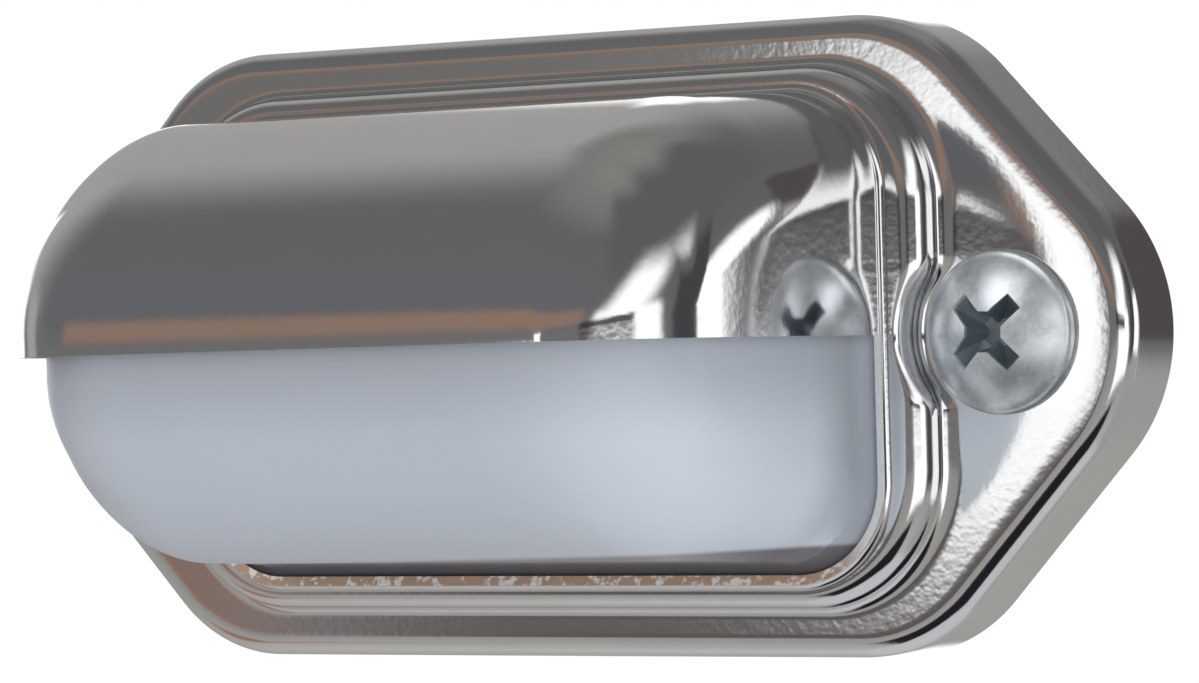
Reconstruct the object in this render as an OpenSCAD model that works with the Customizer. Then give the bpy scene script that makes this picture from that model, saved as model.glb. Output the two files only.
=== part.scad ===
// Number plate lamp: a hooded pressed steel cover over a milky lens, with its bulb and fixings.
// X runs along the lamp, Z is up, the back face is the plane y = 0 and the lamp looks towards -Y.

/* [Flange] */
// Distance from each screw to the flange's tip
tip_w = 8.25; // [8:0.05:10]
// Width of the flange above and below the step
flange_w = 3; // [2.8:0.1:4]
// Angle of the slanting ends to the lamp's length, in degrees
flange_angle = 47; // [42:1:56]
// Radius of the two tips
tip_r = 10.7; // [9:0.1:12]
// Radius of the four blunt corners
corner_r = 10.1; // [7:0.1:12]
// Depth of the skirt, from the panel to the flange's face
skirt_d = 5.5; // [5.2:0.1:9]
// Outer radius of the bend between the skirt and the flange's face
bend_r = 1.3; // [1:0.1:1.6]
// Thickness of the sheet
sheet_t = 0.6; // [0.5:0.05:0.6]

/* [Step] */
// Width of the ledge between each end wall of the step and the hood
ledge_end_w = 2.65; // [2.5:0.05:3.2]
// Width of the ledge above the hood, and of the one below it
ledge_w = 1.5; // [1.45:0.05:1.9]
// Radius of the step's corners
step_corner_r = 8.4; // [6.5:0.1:9]
// How far the step stands above the flange's face
step_rise = 2.2; // [1.8:0.1:3]
// Radius of the hollow at the step's foot
step_foot_r = 0.5; // [0.3:0.05:0.6]
// Width of the rounding of the step's upper edge at each end
step_round_end = 1.6; // [1.2:0.05:1.8]
// Width of the same rounding along the top and the bottom
step_round_w = 0.95; // [0.7:0.05:1]
// Width of the same rounding in the hollow round each screw's head
step_round_seat = 0.65; // [0.62:0.01:0.68]

/* [Hood] */
// Height of the hood's full form at its foot, of which the upper half is kept
hood_h = 29; // [26:0.5:33]
// Radius of the hood's corners at its foot, seen from the front
hood_corner_r = 6.1; // [5:0.1:7]
// The same radius at the nose
nose_corner_r = 9.8; // [7:0.1:11]
// How far the hood reaches out from the step's face
hood_reach = 24.05; // [21:0.05:26]
// Length of the hood's straight roof before it turns down
hood_roof = 9.9; // [7:0.1:12]
// Radius of the hood's front corners, seen from above
hood_end_r = 8; // [5:0.1:10]
// Taper of the hood's walls, in mm for each mm of reach
hood_draft = 0.05; // [0.02:0.01:0.08]
// Radius of the hollow at the hood's foot
hood_foot_r = 0.4; // [0.3:0.02:0.44]
// Margin of the opening below the hood beyond the hood's own outline
opening_margin = 0.06; // [0.04:0.01:0.2]

/* [Lens] */
// Room in the lens beyond each tip of the bulb, for the contacts
bulb_room = 3.95; // [3.5:0.05:6]
// Clearance between the hood's inside and the lens
lens_gap = 0.7; // [0.4:0.05:0.8]
// Wall of the lens
lens_wall = 1.6; // [1.2:0.1:2]
// Thickness of the flange that traps the lens
lens_flange_t = 1.6; // [1.2:0.1:1.8]
// How far the lens flange reaches beyond the flare at the lens's foot
lens_flange_w = 0.75; // [0.6:0.05:0.8]
// Width of the flare at the lens's foot
lens_flare_w = 1; // [0.9:0.05:1.05]
// Height of the flare at the lens's foot
lens_flare_h = 2.3; // [1.5:0.1:3]

/* [Seal and gasket] */
// Width of the rubber ring behind the lens flange
seal_w = 1.8; // [1.4:0.1:2]
// Margin of the rubber ring inside the lens flange's edge
seal_margin = 0.3; // [0.2:0.1:0.5]
// Depth of the groove that holds the ring
seal_groove = 0.6; // [0.4:0.1:0.8]
// Clearance on each side of the ring in its groove
seal_gap = 0.1; // [0.05:0.05:0.2]
// Thickness of the foam pad behind the base plate
gasket_t = 1.8; // [1.5:0.1:2]

/* [Base plate] */
// Clearance of the base plate and gasket inside the skirt
base_gap = 0.3; // [0.2:0.05:0.5]
// Chamfer on the base plate's front edge
base_chamfer = 0.6; // [0.5:0.1:0.9]
// Height of the ribs beside each contact's foot
rib_h = 0.7; // [0.4:0.1:1]
// Thickness of those ribs
rib_t = 0.8; // [0.6:0.1:1.2]

/* [Screws] */
// Width of the ledge that is left between the hood's foot and the hollow round each head
seat_ledge = 0.15; // [0.1:0.05:0.6]
// Diameter over the thread
screw_d = 4.8; // [4.2:0.1:5]
// Length below the head
screw_l = 16; // [13:0.5:25]
// Length of the point
screw_point = 3; // [2:0.5:4]
// Diameter of the pan head
head_d = 9.6; // [9:0.1:9.7]
// Height of the pan head
head_h = 2.5; // [2.2:0.1:3]
// Height of the head's upright edge
head_edge = 0.7; // [0.5:0.1:1]
// Width across the cross recess at the top
recess_d = 5.8; // [5:0.1:6]
// Width of each wing of the recess
recess_wing = 1.2; // [1:0.1:1.4]
// Depth of the recess
recess_depth = 1.9; // [1.6:0.1:2]
// Turn of the recess about the screw's axis, in degrees
recess_turn = 43; // [0:1:89]
// Clearance of the screw in its holes
screw_gap = 0.25; // [0.15:0.05:0.4]
// Clearance between the head and the step's wall, which gives way round it
seat_gap = 0.65; // [0.6:0.01:0.7]

/* [Retainers] */
// Diameter of the push-on washer
retainer_d = 10; // [9:0.5:11]
// Width of the washer's slits
retainer_slit = 0.6; // [0.4:0.1:0.8]
// Thickness of the push-on washer
retainer_t = 0.9; // [0.7:0.1:1]
// Clearance of the washer in its pocket and on the screw
retainer_gap = 0.1; // [0.05:0.05:0.2]

/* [Bulb] */
// Length of the festoon bulb from tip to tip
bulb_l = 36; // [34:0.5:38]
// Diameter of the glass
bulb_d = 10.4; // [9:0.1:11]
// Diameter of the end caps
cap_d = 8.2; // [7.8:0.1:8.5]
// Length of an end cap's straight part
cap_l = 5.5; // [5:0.1:6.5]
// Length of an end cap's cone
cone_l = 3; // [2.5:0.1:3.5]
// Diameter of a cap's tip
tip_d = 3.4; // [3:0.1:3.8]
// Wall of the caps
cap_wall = 0.3; // [0.25:0.05:0.4]
// Wall of the glass
glass_wall = 0.6; // [0.5:0.05:0.8]
// Radius of the glass's shoulders
glass_shoulder = 2.5; // [2:0.1:3]
// Length of glass that shows between the shoulder and the cap
neck_l = 1; // [0.6:0.1:1.4]
// Distance of the bulb's axis from the panel
bulb_out = 17; // [16:0.5:18]
// Length of the coiled filament
coil_l = 7; // [5:0.5:9]
// Diameter of the coil
coil_d = 1; // [0.8:0.1:1.2]
// Diameter of the lead wires
lead_d = 0.4; // [0.3:0.05:0.5]

/* [Contacts] */
// Thickness of the spring strip
strip_t = 0.5; // [0.4:0.05:0.6]
// Width of the spring strip
strip_w = 7; // [6.4:0.1:7.5]
// Inside radius of the strip's bend
strip_bend_r = 0.8; // [0.6:0.1:1.2]
// Length of the strip above the bulb's axis
strip_over = 3.8; // [3.4:0.1:4]
// Outward lean of the strip's top, for easy entry of the bulb
strip_lean = 1; // [0.5:0.1:1.5]
// How far a bulb's tip passes into its hole
tip_engage = 0.8; // [0.6:0.1:1]

/* [Rivets and terminals] */
// Clearance between the terminal's ring and the bend of the spring strip
lug_gap = 0.1; // [0.1:0.05:0.3]
// Diameter of the rivet's shank
rivet_d = 3; // [2.6:0.1:3.2]
// Diameter of the rivet's heads
rivet_head_d = 5; // [4.6:0.1:5.4]
// Height of the rivet's heads
rivet_head_h = 0.8; // [0.6:0.1:0.9]
// Bore of the tubular rivet
rivet_bore = 1.6; // [1.2:0.1:1.8]
// Clearance of the rivet in its holes
rivet_gap = 0.05; // [0.03:0.01:0.1]
// Diameter of the terminal's ring
lug_d = 6.4; // [6:0.1:6.8]
// Thickness of the terminal's sheet
lug_t = 0.4; // [0.3:0.05:0.5]
// Outer diameter of the crimp barrel
barrel_d = 2.8; // [2.6:0.1:3]
// Length of the crimp barrel
barrel_l = 3; // [2.5:0.1:3.2]
// Length of neck that shows between the ring and the barrel
barrel_neck = 0.3; // [0.2:0.1:0.6]

/* [Grommet] */
// Diameter of the grommet's waist
grommet_d = 8.8; // [8:0.1:9]
// Diameter of the grommet's flanges
grommet_flange_d = 11.4; // [11:0.1:11.6]
// Thickness of the grommet's flanges
grommet_flange_t = 1; // [0.8:0.1:1.2]
// Diameter of each wire hole
wire_d = 2.4; // [2:0.1:2.6]
// Distance between the two wire holes
wire_spacing = 3.8; // [3.2:0.1:4]
// Clearance of the grommet in its hole
grommet_gap = 0.1; // [0.05:0.05:0.2]

/* [Hidden] */
$fn = 64;
// Steps along a quarter of the flange: its tip arc, the points between, and its blunt corner arc
tip_steps = 4;
slant_points = 2;
corner_steps = 5;
// Points along half an end of the step or hood, and steps of its corner arc, so that all rings match
side_points = 6;
arc_steps = tip_steps + slant_points + corner_steps + 1 - side_points;
// Steps along a bend and along a quarter of the nose
bend_steps = 3;
nose_steps = 11;
// The last ring of the nose stops short of closing, so that it ends in a narrow flat
nose_end = 85;
// Share of the half height that a corner radius may take near the nose
corner_share = 0.85;
// Distance that a cutter passes a face
over = 1;
// Faces that touch start from these planes, as distances out from the panel
face_y = skirt_d;
face_in = face_y - sheet_t;
step_y = face_y + step_rise;
step_in = step_y - sheet_t;
lens_back = step_in - lens_flange_t;
base_front = face_in;
base_back = gasket_t;
seal_back = base_front - seal_groove;
// The lens follows the hood at this distance
lens_inset = sheet_t + lens_gap;
skirt_inset = sheet_t + base_gap;
lens_flange_grow = lens_flare_w - lens_inset + lens_flange_w;
// The lamp is built up round its bulb: the lens, the hood, the step, the screws, then the flange
hood_l = bulb_l + 2 * (bulb_room + lens_wall + lens_gap + sheet_t);
step_l = hood_l + 2 * ledge_end_w;
step_h = hood_h + 2 * ledge_w;
seat_r = head_d / 2 + seat_gap;
screw_x = hood_l / 2 + hood_foot_r + seat_ledge + step_round_seat + seat_r;
flange_l = 2 * (screw_x + tip_w);
flange_h = step_h + 2 * flange_w;
hole_d = screw_d + 2 * screw_gap;
// The rounding of the step's upper edge takes most of the height above the hollow at its foot
step_round_h = 0.88 * (step_rise - step_foot_r);
// The neck inside the lamp is plain and about as thick as the thread's pitch diameter
screw_neck_d = 0.87 * screw_d;
// The opening is cut where the hollow at the hood's foot has turned this far, in degrees
cut_turn = asin(1 - opening_margin / hood_foot_r);
// Number of the ring in the cover's faces at which the lower half ends
cut_ring = 3 * (bend_steps + 1) + 2;
retainer_y = base_back + retainer_t;
pocket_y = retainer_y + retainer_gap;
rivet_hole = rivet_d + 2 * rivet_gap;
strip_y = base_front + strip_t;
lug_y = strip_y + lug_t;
rivet_pocket_y = base_back + rivet_head_h + rivet_gap;
cap_x = bulb_l / 2 - cone_l;
glass_x = cap_x - cap_l;
strip_x = bulb_l / 2 - tip_engage;
rivet_x = strip_x - strip_bend_r - lug_gap - lug_d / 2;
cone_r = tip_d / 2 + (cap_d - tip_d) / 2 * tip_engage / cone_l;

// One quarter of a rounded rectangle, from the middle of its end to the end of its corner arc
function rect_quarter(a, b, r) = concat(
    [for (k = [0 : side_points - 1]) [a, (b - r) * k / side_points]],
    [for (k = [0 : arc_steps]) a_point(a - r, b - r, r, 90 * k / arc_steps)]);

// One quarter of the flange's outline, drawn in by an inset, from the tip to the blunt corner's end
function flange_quarter(inset) =
    let(a = flange_l / 2 - tip_r, rt = tip_r - inset, rc = corner_r - inset, h = flange_h / 2 - inset,
        turn = 90 - flange_angle,
        cx = a + rt / sin(flange_angle) - h / tan(flange_angle) - rc * tan(flange_angle / 2),
        tip_end = a_point(a, 0, rt, turn),
        slant = a_point(cx, h - rc, rc, turn) - tip_end)
    concat([for (k = [0 : tip_steps]) a_point(a, 0, rt, turn * k / tip_steps)],
        [for (k = [1 : slant_points]) tip_end + slant * k / (slant_points + 1)],
        [for (k = [0 : corner_steps]) a_point(cx, h - rc, rc, turn + flange_angle * k / corner_steps)]);

function a_point(x, z, r, t) = [x + r * cos(t), z + r * sin(t)];

// How far a face drawn in by an inset lies behind the full width of a rounding, after the angle t
function rounding(width, inset, t) = (width - inset) * cos(t) - width;

// The whole outline from its quarter, with a point at the middle of the top and of the bottom
function whole(q, b) = let(n = len(q) - 1) concat(q, [[0, b]],
    [for (k = [n : -1 : 1]) [-q[k][0], q[k][1]]], [[-q[0][0], 0]],
    [for (k = [1 : n]) [-q[k][0], -q[k][1]]], [[0, -b]],
    [for (k = [n : -1 : 1]) [q[k][0], -q[k][1]]]);

function flange_outline(inset) = whole(flange_quarter(inset), flange_h / 2 - inset);
function rect_outline(a, b, r) = whole(rect_quarter(a, b, r), b);

// An outline set at a distance out from the panel
function ring(outline, out) = [for (p = outline) [p[0], -out, p[1]]];

function flange_ring(inset, out) = ring(flange_outline(inset), out);

// A ring of the step, drawn out by one distance at its ends, by another along its top and bottom, and by a
// third in the round hollow in each end that keeps clear of the screw's head
function step_ring(ends, sides, seat, out) =
    [for (p = rect_outline(step_l / 2 + ends, step_h / 2 + sides, step_corner_r + (ends + sides) / 2))
        [sign(p[0]) * min(abs(p[0]), seat_limit(p[1], seat_r - seat)), -out, p[1]]];
function seat_limit(z, r) = abs(z) < r ? screw_x - sqrt(r * r - z * z) : screw_x;

function foot_outline(grow) = rect_outline(hood_l / 2 + grow, hood_h / 2 + grow, hood_corner_r + grow);
function foot_ring(grow, out) = ring(foot_outline(grow), out);

// Half length and corner radius of the hood's outer face at a reach s beyond the step
function hood_half_l(s) = let(straight = hood_reach - hood_end_r, u = max(0, (s - straight) / hood_end_r))
    hood_l / 2 - hood_draft * min(s, straight) - hood_end_r * (1 - sqrt(max(0, 1 - u * u)));
function hood_corner(s) = hood_corner_r + (nose_corner_r - hood_corner_r) * s / hood_reach;

// A ring of the hood's form at the share t of a quarter turn of the nose, drawn in by an inset
function nose_ring(t, inset) =
    let(s = hood_roof + (hood_reach - hood_roof) * sin(t),
        a = hood_half_l(s) - inset,
        roof = hood_h / 2 - hood_draft * hood_roof - inset,
        b = roof * cos(t),
        r = min(hood_corner(s) - inset / 2, corner_share * b))
    ring(rect_outline(a, b, r), step_y + hood_roof + (hood_reach - hood_roof - inset) * sin(t));

function nose_rings(inset) = [for (k = [0 : nose_steps]) nose_ring(nose_end * k / nose_steps, inset)];

// Rings of the cover's face, or of the face that lies an inset behind it, from the panel to the nose
function cover_rings(inset) = concat(
    [flange_ring(inset, 0)],
    [for (k = [0 : bend_steps]) let(t = 90 * k / bend_steps)
        flange_ring(bend_r - (bend_r - inset) * cos(t), face_y - bend_r + (bend_r - inset) * sin(t))],
    [for (k = [0 : bend_steps])
        let(t = 90 * k / bend_steps, r = step_foot_r + inset, g = step_foot_r - r * sin(t))
        step_ring(g, g, g, face_y + step_foot_r - r * cos(t))],
    [for (k = [0 : bend_steps]) let(t = 90 * k / bend_steps)
        step_ring(rounding(step_round_end, inset, t), rounding(step_round_w, inset, t),
            rounding(step_round_seat, inset, t), step_y + rounding(step_round_h, inset, 90 - t))],
    [for (t = [0, cut_turn, (cut_turn + 90) / 2, 90]) let(r = hood_foot_r + inset)
        foot_ring(hood_foot_r - r * sin(t), step_y + hood_foot_r - r * cos(t))],
    nose_rings(inset));

// Two triangles between two neighbouring points of one ring and those of the next
function band(a, b, c, d) = [[a, b, d], [d, b, c]];

// A closed solid through a list of rings that all have the same number of points
module loft(rings) {
    n = len(rings[0]);
    last = len(rings) - 1;
    polyhedron([for (r = rings) each r], concat(
        [[for (j = [0 : n - 1]) j]],
        [for (i = [0 : last - 1], j = [0 : n - 1]) let(k = (j + 1) % n)
            each band(i * n + j, (i + 1) * n + j, (i + 1) * n + k, i * n + k)],
        [[for (j = [n - 1 : -1 : 0]) last * n + j]]));
}

// A shell between an outer and an inner list of rings. From the ring cut onwards only the upper half
// stays, and its rim lies in the plane z = 0. With no cut the shell is whole.
module shell(outer, inner, cut = undef) {
    n = len(outer[0]);
    entire = is_undef(cut);
    half = entire ? n : n / 2;
    o = len(outer) - 1;
    i = len(inner) - 1;
    function out_at(k, j) = k * n + j % n;
    function in_at(k, j) = (o + 1 + k) * n + j % n;
    function turn_end(k) = (entire || k < cut ? n : half) - 1;
    outside = [for (k = [0 : o - 1]) for (j = [0 : turn_end(k)])
        each band(out_at(k, j), out_at(k + 1, j), out_at(k + 1, j + 1), out_at(k, j + 1))];
    inside = [for (k = [0 : i - 1]) for (j = [0 : turn_end(k)])
        each band(in_at(k + 1, j), in_at(k, j), in_at(k, j + 1), in_at(k + 1, j + 1))];
    back = [for (j = [0 : n - 1]) each band(in_at(0, j), out_at(0, j), out_at(0, j + 1), in_at(0, j + 1))];
    // Each nose is closed by triangles round a middle point
    out_c = (o + i + 2) * n;
    in_c = out_c + 1;
    noses = [for (j = [0 : half - 1]) each
        [[out_c, out_at(o, j + 1), out_at(o, j)], [in_c, in_at(i, j), in_at(i, j + 1)]]];
    lip = entire ? [] : [for (j = [half : n - 1])
        each band(out_at(cut, j), in_at(cut, j), in_at(cut, j + 1), out_at(cut, j + 1))];
    rim = entire ? [] : concat(
        [for (k = [cut : o - 1]) [out_at(k, 0), in_at(k, 0), in_at(k + 1, 0), out_at(k + 1, 0)]],
        [for (k = [cut : o - 1]) [out_at(k, half), out_at(k + 1, half), in_at(k + 1, half), in_at(k, half)]],
        [[out_at(o, 0), in_at(i, 0), in_c, out_c], [out_c, in_c, in_at(i, half), out_at(o, half)]]);
    polyhedron([for (r = concat(outer, inner)) each r, [0, outer[o][0][1], 0], [0, inner[i][0][1], 0]],
        concat(outside, inside, back, noses, lip, rim));
}

// A flat plate of an outline between two distances out from the panel
module plate(outline, from, to) {
    translate([0, -from, 0]) rotate([90, 0, 0]) linear_extrude(to - from) polygon(outline);
}

// A round bar along Y between two distances out from the panel, begun at a turn that keeps its first
// point off the plane z = 0, where the outlines have corners
module bar(x, z, d, from, to) {
    translate([x, -from, z]) rotate([90, 0, 0]) rotate([0, 0, 45]) cylinder(d = d, h = to - from);
}

// Turns children drawn about +Z so that they stand out from the panel at x
module outward(x, from) {
    translate([x, -from, 0]) rotate([90, 0, 0]) children();
}

module sides() {
    for (side = [-1, 1]) translate([side * screw_x, 0, 0]) children();
}

module cover() {
    color("gainsboro") difference() {
        shell(cover_rings(0), cover_rings(sheet_t), cut_ring);
        sides() bar(0, 0, hole_d, 0, step_y);
    }
}

// Rings of the lens's outer face: its flange, the flare at its foot and its nose
function lens_rings() = concat(
    [foot_ring(lens_flange_grow, lens_back), foot_ring(lens_flange_grow, step_in)],
    [for (k = [0 : bend_steps]) let(t = 90 * k / bend_steps)
        foot_ring(lens_flare_w * (1 - sin(t)) - lens_inset, step_in + lens_flare_h * (1 - cos(t)))],
    nose_rings(lens_inset));

module lens() {
    inner = lens_inset + lens_wall;
    color("whitesmoke") shell(lens_rings(), concat([foot_ring(-inner, lens_back)], nose_rings(inner)));
}

// A ring that follows the lens flange, drawn in from its edge
module seal_ring(edge, width, from, to) {
    difference() {
        plate(foot_outline(lens_flange_grow - edge), from, to);
        plate(foot_outline(lens_flange_grow - edge - width), from - over, to + over);
    }
}

module lens_seal() {
    color("dimgray") seal_ring(seal_margin, seal_w, seal_back, lens_back);
}

module base_plate() {
    color("ivory") difference() {
        union() {
            base_blank();
            for (side = [-1, 1], edge = [-1, 1]) foot_rib(side, edge);
        }
        seal_ring(seal_margin - seal_gap, seal_w + 2 * seal_gap, seal_back, base_front + over);
        sides() bar(0, 0, hole_d, 0, base_front + over);
        sides() bar(0, 0, retainer_d + 2 * retainer_gap, 0, pocket_y);
        for (side = [-1, 1]) bar(side * rivet_x, 0, rivet_hole, 0, base_front + over);
        for (side = [-1, 1]) bar(side * rivet_x, 0, rivet_head_d + 4 * rivet_gap, 0, rivet_pocket_y);
        bar(0, 0, grommet_d + 2 * grommet_gap, 0, base_front + over);
    }
}

// The base plate's slab, with a chamfer that clears the cover's bend
module base_blank() {
    i = skirt_inset;
    loft([flange_ring(i, base_back), flange_ring(i, base_front - base_chamfer),
        flange_ring(i + base_chamfer, base_front)]);
}

// A rib on each side of a contact's foot, beyond the terminal's neck, keeps the strip square
module foot_rib(side, edge) {
    x = rivet_x + barrel_d / 2 + lug_gap;
    w = strip_x - x;
    z = strip_w / 2 + rivet_gap;
    translate([side > 0 ? x : -x - w, -base_front - rib_h, edge > 0 ? z : -z - rib_t])
        cube([w, rib_h + over, rib_t]);
}

module base_gasket() {
    color("darkslategray") difference() {
        plate(flange_outline(skirt_inset), 0, gasket_t);
        sides() bar(0, 0, hole_d, -over, gasket_t + over);
        bar(0, 0, grommet_flange_d + 2 * grommet_gap, -over, gasket_t + over);
    }
}

module wire_grommet() {
    color("black") difference() {
        union() {
            bar(0, 0, grommet_d, base_back, base_front);
            bar(0, 0, grommet_flange_d, base_back - grommet_flange_t, base_back);
            bar(0, 0, grommet_flange_d, base_front, base_front + grommet_flange_t);
        }
        for (side = [-1, 1]) bar(side * wire_spacing / 2, 0, wire_d, 0, step_y);
    }
}

// A pan head screw about +Z, its head's underside at z = 0. Its thread begins where it enters the panel.
module pan_screw() {
    thread_l = screw_l - screw_point - face_y;
    difference() {
        union() {
            pan_head();
            translate([0, 0, -face_y]) cylinder(d = screw_neck_d, h = face_y);
            translate([0, 0, -face_y - thread_l]) cylinder(d = screw_d, h = thread_l);
            translate([0, 0, -screw_l]) cylinder(d1 = 0, d2 = screw_d, h = screw_point);
        }
        rotate([0, 0, recess_turn]) cross_recess();
    }
}

// The head is a short upright edge under a crown that is part of a sphere
module pan_head() {
    rise = head_h - head_edge;
    crown_r = (head_d * head_d / 4 + rise * rise) / (2 * rise);
    cylinder(d = head_d, h = head_edge);
    intersection() {
        translate([0, 0, head_edge]) cylinder(d = head_d, h = rise);
        translate([0, 0, head_h - crown_r]) sphere(r = crown_r, $fn = 96);
    }
}

// Two crossed wings that narrow with depth, round a conical middle
module cross_recess() {
    bottom = head_h - recess_depth;
    intersection() {
        union() {
            for (turn = [0, 90]) rotate([0, 0, turn])
                translate([-recess_d, -recess_wing / 2, bottom]) cube([2 * recess_d, recess_wing, head_h]);
            translate([0, 0, bottom]) cylinder(d1 = recess_wing, d2 = 2.4 * recess_wing, h = recess_depth);
        }
        translate([0, 0, bottom])
            cylinder(d1 = 0.45 * recess_d, d2 = 1.06 * recess_d, h = recess_depth + 0.1);
    }
}

module screw_left() {
    color("silver") outward(-screw_x, face_y) pan_screw();
}

module screw_right() {
    color("silver") outward(screw_x, face_y) pan_screw();
}

// A push-on washer with four slits, so that its lips pass the thread and close behind it on the neck
module retainer(x) {
    difference() {
        bar(x, 0, retainer_d, base_back, retainer_y);
        bar(x, 0, screw_neck_d + retainer_gap, 0, pocket_y);
        for (turn = [0, 90]) translate([x, 0, 0]) rotate([0, turn, 0])
            translate([-0.36 * retainer_d, -pocket_y, -retainer_slit / 2])
                cube([0.72 * retainer_d, pocket_y, retainer_slit]);
    }
}

module screw_retainer_left() {
    color("white") retainer(-screw_x);
}

module screw_retainer_right() {
    color("white") retainer(screw_x);
}

// Turns children drawn about +Z so that they lie on the bulb's axis, towards one side
module on_bulb_axis(side) {
    translate([0, -bulb_out, 0]) rotate([0, side * 90, 0]) children();
}

// Half of the glass's outline, as radius and distance from the middle
function glass_half(inset) =
    let(neck = cap_d / 2 - cap_wall - rivet_gap, r = bulb_d / 2, c = glass_shoulder)
    concat([[r - inset, 0]],
        [for (k = [0 : 6]) let(t = 15 * k)
            [r - c + (c - inset) * cos(t), glass_x - c - neck_l + (c - inset) * sin(t)]],
        inset > 0 ? [[0, glass_x - neck_l - inset]] :
            [[neck, glass_x - neck_l], [neck, cap_x - neck_l], [0, cap_x - neck_l]]);

function both_ways(half) = concat([for (k = [len(half) - 1 : -1 : 1]) [half[k][0], -half[k][1]]], half);

module bulb_glass() {
    color("lightcyan") on_bulb_axis(1) difference() {
        rotate_extrude() polygon(both_ways(glass_half(0)));
        rotate_extrude() polygon(both_ways(glass_half(glass_wall)));
        cylinder(d = lead_d + 2 * rivet_gap, h = bulb_l, center = true);
    }
}

// The coil is drawn as a grooved rod between its two lead wires
module bulb_filament() {
    turns = 12;
    pitch = coil_l / turns;
    color("dimgray") on_bulb_axis(1) union() {
        cylinder(d = lead_d, h = 2 * (cap_x - rivet_gap), center = true);
        for (k = [0 : turns - 1]) translate([0, 0, (k - (turns - 1) / 2) * pitch])
            cylinder(d = coil_d, h = pitch / 2, center = true);
        cylinder(d = 0.7 * coil_d, h = coil_l - pitch / 2, center = true);
    }
}

// A pressed cap: a cup over the glass's neck that ends in a cone
module bulb_cap(side) {
    r = cap_d / 2;
    w = cap_wall;
    color("lightgray") on_bulb_axis(side) rotate_extrude()
        polygon([[r - w, glass_x], [r, glass_x], [r, cap_x], [tip_d / 2, bulb_l / 2], [0, bulb_l / 2],
            [0, cap_x], [r - w, cap_x]]);
}

module bulb_cap_left() {
    bulb_cap(-1);
}

module bulb_cap_right() {
    bulb_cap(1);
}

// A spring strip: a foot on the base plate, a bend and an upright with a hole for the bulb's tip
module contact(side) {
    foot_x = rivet_x - lug_d / 2;
    r = strip_bend_r;
    t = strip_t;
    x = strip_x + t;
    top = bulb_out + strip_over;
    lean_y = bulb_out + cone_r + 0.4;
    inner = [for (k = [0 : 6]) let(a = 15 * k) [x - t - r + r * sin(a), strip_y + r - r * cos(a)]];
    outer = [for (k = [6 : -1 : 0]) let(a = 15 * k)
        [x - t - r + (r + t) * sin(a), strip_y + r - (r + t) * cos(a)]];
    section = concat([[foot_x, strip_y]], inner, [[x - t, lean_y], [x - t + strip_lean, top],
        [x + strip_lean, top], [x, lean_y]], outer, [[foot_x, base_front]]);
    color("goldenrod") mirror([side < 0 ? 1 : 0, 0, 0]) difference() {
        translate([0, 0, -strip_w / 2]) linear_extrude(strip_w) polygon([for (p = section) [p[0], -p[1]]]);
        translate([0, -bulb_out, 0]) rotate([0, 90, 0]) cylinder(r = cone_r + rivet_gap, h = bulb_l);
        bar(rivet_x, 0, rivet_hole, 0, step_y);
    }
}

module contact_left() {
    contact(-1);
}

module contact_right() {
    contact(1);
}

// A crimp lug: a ring on the contact's foot, a neck and an open barrel for the lead. The barrel points
// up on the right and down on the left.
module terminal(side) {
    start = lug_d / 2 + barrel_neck;
    barrel_r = barrel_d / 2;
    color("khaki") rotate([0, side < 0 ? 180 : 0, 0]) difference() {
        union() {
            bar(rivet_x, 0, lug_d, strip_y, lug_y);
            translate([rivet_x - barrel_r, -lug_y, 0]) cube([barrel_d, lug_t, start]);
            translate([rivet_x, lug_t - lug_y - barrel_r, start]) cylinder(d = barrel_d, h = barrel_l);
        }
        bar(rivet_x, 0, rivet_hole, 0, step_y);
        translate([rivet_x, lug_t - lug_y - barrel_r, start - over])
            cylinder(d = barrel_d - 2 * lug_t, h = barrel_l + 2 * over);
        translate([rivet_x - lug_t, -lug_y - 2 * barrel_d, start - over])
            cube([2 * lug_t, 2 * barrel_d - barrel_r, barrel_l + 2 * over]);
    }
}

module terminal_live() {
    terminal(1);
}

module terminal_earth() {
    terminal(-1);
}

// A tubular rivet, rolled over in its pocket at the back
module rivet(x) {
    color("peru") difference() {
        union() {
            bar(x, 0, rivet_d, rivet_pocket_y, lug_y);
            bar(x, 0, rivet_head_d, lug_y, lug_y + rivet_head_h);
            bar(x, 0, rivet_head_d, rivet_pocket_y - rivet_head_h, rivet_pocket_y);
        }
        bar(x, 0, rivet_bore, 0, lug_y);
    }
}

module rivet_left() {
    rivet(-rivet_x);
}

module rivet_right() {
    rivet(rivet_x);
}

cover();
lens();
lens_seal();
base_plate();
base_gasket();
wire_grommet();
screw_left();
screw_right();
screw_retainer_left();
screw_retainer_right();
bulb_glass();
bulb_filament();
bulb_cap_left();
bulb_cap_right();
contact_left();
contact_right();
terminal_live();
terminal_earth();
rivet_left();
rivet_right();
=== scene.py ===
"""Number plate lamp: the fine shapes and finishes of the lamp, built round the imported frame.

Sizes are in millimetres in the classes and in metres in the meshes. X runs along the lamp, Z is up, the panel
is the plane y = 0 and the lamp looks towards -Y.
"""

import logging
import math
from dataclasses import dataclass, field
from enum import Enum
from typing import Mapping, Optional, Sequence

import bmesh
import bpy
from mathutils import Matrix, Vector


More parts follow.
